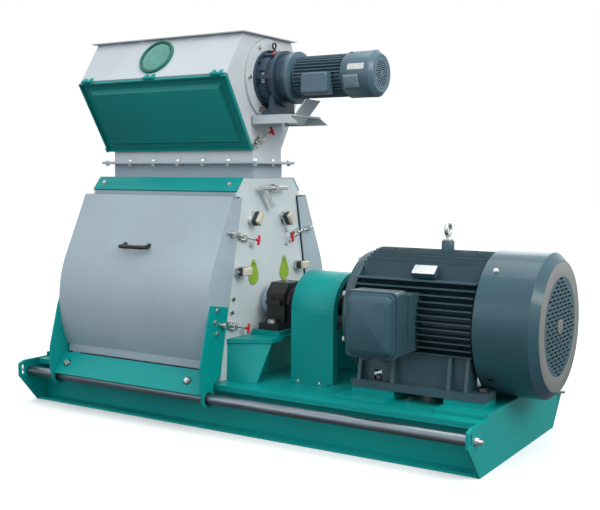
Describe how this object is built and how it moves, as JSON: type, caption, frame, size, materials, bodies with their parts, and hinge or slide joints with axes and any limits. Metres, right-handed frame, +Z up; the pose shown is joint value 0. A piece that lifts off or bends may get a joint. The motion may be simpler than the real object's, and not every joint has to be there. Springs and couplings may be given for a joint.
{
  "type": "hammer mill",
  "caption": "Skid-mounted hammer mill: drop-shaped grinding body with doors on guide rails, rotor feeder and gear motor on top, motor coupled direct to the rotor; grinds grain to meal",
  "frame": {"origin": "on the floor, under the middle of the machine's bounding box", "axes": "+X along the skid from the mill to the motor's fan cowl, +Y from the front door to the rear door, +Z up"},
  "size_m": [2.83, 1.25, 1.975],
  "materials": {
    "teal_paint": "satin paint",
    "dark_teal_paint": "satin paint",
    "pale_paint": "gloss paint",
    "motor_grey_paint": "satin paint",
    "navy_paint": "satin paint",
    "olive_paint": "satin paint",
    "black_cast_iron": "painted black",
    "grey_iron": "as cast and turned",
    "bright_steel": "ground",
    "zinc_steel": "zinc plated",
    "dark_steel": "blackened",
    "motor_core_steel": "laminated",
    "red_grip": "moulded",
    "clear_pane": "clear"
  },
  "bodies": {
    "machine": {"base_beams": "teal_paint", "base_deck": "teal_paint", "base_end_plates": "teal_paint", "guide_rails": "bright_steel", "frame_fasteners": "zinc_steel", "left_side_plate": "pale_paint", "right_side_plate": "pale_paint", "body_panels": "pale_paint", "inlet_hood": "pale_paint", "shoulder_bars": "teal_paint", "screens_and_tooth_plate": "bright_steel", "bearing_stands": "teal_paint", "bearing_housing_feet": "black_cast_iron", "bearing_housing_caps": "black_cast_iron", "bearings": "bright_steel", "coupling_guard": "teal_paint", "motor_frame": "motor_grey_paint", "stators": "motor_core_steel", "motor_end_shields": "motor_grey_paint", "motor_fan_cowl": "motor_grey_paint", "motor_terminal_box": "motor_grey_paint", "feeder_housing": "pale_paint", "feeder_window_ring": "teal_paint", "feeder_window_pane": "clear_pane", "cover_hinges": "bright_steel", "reducer_bracket": "navy_paint", "feeder_reducer": "navy_paint", "feeder_motor_frame": "navy_paint", "feeder_motor_cowl": "navy_paint", "clamp_bases": "zinc_steel", "limit_switches": "zinc_steel"},
    "mill_rotor": {"mill_shaft": "bright_steel", "rotor_discs_and_pins": "bright_steel", "mill_coupling_half": "grey_iron"},
    "hammers_1": {"hammers_row_1": "bright_steel"},
    "hammers_2": {"hammers_row_2": "bright_steel"},
    "hammers_3": {"hammers_row_3": "bright_steel"},
    "hammers_4": {"hammers_row_4": "bright_steel"},
    "main_motor_rotor": {"motor_rotor": "motor_core_steel", "motor_coupling_half": "grey_iron"},
    "feed_roll_body": {"feed_roll": "bright_steel"},
    "gear_motor_rotor": {"feeder_motor_rotor": "motor_core_steel"},
    "front_carriage": {"front_door_sleeves": "bright_steel"},
    "front_door": {"front_door_shell": "pale_paint", "front_door_frame": "teal_paint", "front_door_fittings": "dark_steel"},
    "front_pin_cover_body": {"front_pin_cover": "olive_paint"},
    "rear_carriage": {"rear_door_sleeves": "bright_steel"},
    "rear_door": {"rear_door_shell": "pale_paint", "rear_door_frame": "teal_paint", "rear_door_fittings": "dark_steel"},
    "rear_pin_cover_body": {"rear_pin_cover": "olive_paint"},
    "feeder_cover_body": {"feeder_cover": "dark_teal_paint", "cover_magnets": "bright_steel"},
    "guide_plate_body": {"guide_plate": "bright_steel"},
    "clamp_lever_front_upper_body": {"clamp_lever_front_upper": "red_grip"},
    "clamp_lever_rear_upper_body": {"clamp_lever_rear_upper": "red_grip"},
    "clamp_lever_front_lower_body": {"clamp_lever_front_lower": "red_grip"},
    "clamp_lever_rear_lower_body": {"clamp_lever_rear_lower": "red_grip"},
    "clamp_lever_feeder_body": {"clamp_lever_feeder": "red_grip"}
  },
  "joints": [
    {"name": "mill_rotor_spin", "type": "hinge", "parent": "machine", "child": "mill_rotor", "pos_m": [-0.634, 0, 0.59], "axis": [1, 0, 0], "continuous": true},
    {"name": "hammers_1_swing", "type": "hinge", "parent": "mill_rotor", "child": "hammers_1", "pos_m": [-0.634, 0.14496, 0.73496], "axis": [1, 0, 0], "range_deg": [-90, 90]},
    {"name": "hammers_2_swing", "type": "hinge", "parent": "mill_rotor", "child": "hammers_2", "pos_m": [-0.634, -0.14496, 0.73496], "axis": [1, 0, 0], "range_deg": [-90, 90]},
    {"name": "hammers_3_swing", "type": "hinge", "parent": "mill_rotor", "child": "hammers_3", "pos_m": [-0.634, -0.14496, 0.44504], "axis": [1, 0, 0], "range_deg": [-90, 90]},
    {"name": "hammers_4_swing", "type": "hinge", "parent": "mill_rotor", "child": "hammers_4", "pos_m": [-0.634, 0.14496, 0.44504], "axis": [1, 0, 0], "range_deg": [-90, 90]},
    {"name": "motor_rotor_spin", "type": "hinge", "parent": "machine", "child": "main_motor_rotor", "pos_m": [0.808, 0, 0.59], "axis": [1, 0, 0], "continuous": true},
    {"name": "feed_roll_spin", "type": "hinge", "parent": "machine", "child": "feed_roll_body", "pos_m": [-0.651, 0, 1.752], "axis": [1, 0, 0], "continuous": true},
    {"name": "gear_motor_spin", "type": "hinge", "parent": "machine", "child": "gear_motor_rotor", "pos_m": [0.183, 0, 1.752], "axis": [1, 0, 0], "continuous": true},
    {"name": "front_door_slide", "type": "slide", "parent": "machine", "child": "front_carriage", "axis": [1, 0, 0], "range_m": [0, 0.68]},
    {"name": "front_door_tilt", "type": "hinge", "parent": "front_carriage", "child": "front_door", "pos_m": [-0.634, -0.556, 0.174], "axis": [1, 0, 0], "range_deg": [0, 20]},
    {"name": "front_pin_cover_swing", "type": "hinge", "parent": "machine", "child": "front_pin_cover_body", "pos_m": [-0.145, -0.14496, 0.80696], "axis": [1, 0, 0], "range_deg": [0, 100]},
    {"name": "rear_door_slide", "type": "slide", "parent": "machine", "child": "rear_carriage", "axis": [1, 0, 0], "range_m": [0, 0.68]},
    {"name": "rear_door_tilt", "type": "hinge", "parent": "rear_carriage", "child": "rear_door", "pos_m": [-0.634, 0.556, 0.174], "axis": [-1, 0, 0], "range_deg": [0, 20]},
    {"name": "rear_pin_cover_swing", "type": "hinge", "parent": "machine", "child": "rear_pin_cover_body", "pos_m": [-0.145, 0.14496, 0.80696], "axis": [-1, 0, 0], "range_deg": [0, 100]},
    {"name": "feeder_cover_swing", "type": "hinge", "parent": "machine", "child": "feeder_cover_body", "pos_m": [-0.651, -0.37455, 1.75243], "axis": [-1, 0, 0], "range_deg": [0, 100]},
    {"name": "guide_plate_swing", "type": "hinge", "parent": "machine", "child": "guide_plate_body", "pos_m": [-0.627, -0.012, 1.19], "axis": [1, 0, 0], "range_deg": [-30, 30]},
    {"name": "clamp_lever_front_upper_swing", "type": "hinge", "parent": "machine", "child": "clamp_lever_front_upper_body", "pos_m": [-0.127, -0.24465, 0.94154], "axis": [0, -0.2011, -0.9796], "range_deg": [0, 100]},
    {"name": "clamp_lever_rear_upper_swing", "type": "hinge", "parent": "machine", "child": "clamp_lever_rear_upper_body", "pos_m": [-0.127, 0.24465, 0.94154], "axis": [0, -0.2011, 0.9796], "range_deg": [0, 100]},
    {"name": "clamp_lever_front_lower_swing", "type": "hinge", "parent": "machine", "child": "clamp_lever_front_lower_body", "pos_m": [-0.127, -0.33578, 0.49754], "axis": [0, -0.2011, -0.9796], "range_deg": [0, 100]},
    {"name": "clamp_lever_rear_lower_swing", "type": "hinge", "parent": "machine", "child": "clamp_lever_rear_lower_body", "pos_m": [-0.127, 0.33578, 0.49754], "axis": [0, -0.2011, 0.9796], "range_deg": [0, 100]},
    {"name": "clamp_lever_feeder_swing", "type": "hinge", "parent": "machine", "child": "clamp_lever_feeder_body", "pos_m": [-0.14, -0.08902, 1.43201], "axis": [0, 0.6157, -0.788], "range_deg": [0, 100]}
  ],
  "couplings": [
    {"joint": "motor_rotor_spin", "follows": "mill_rotor_spin", "ratio": 1},
    {"joint": "gear_motor_spin", "follows": "feed_roll_spin", "ratio": -17}
  ]
}
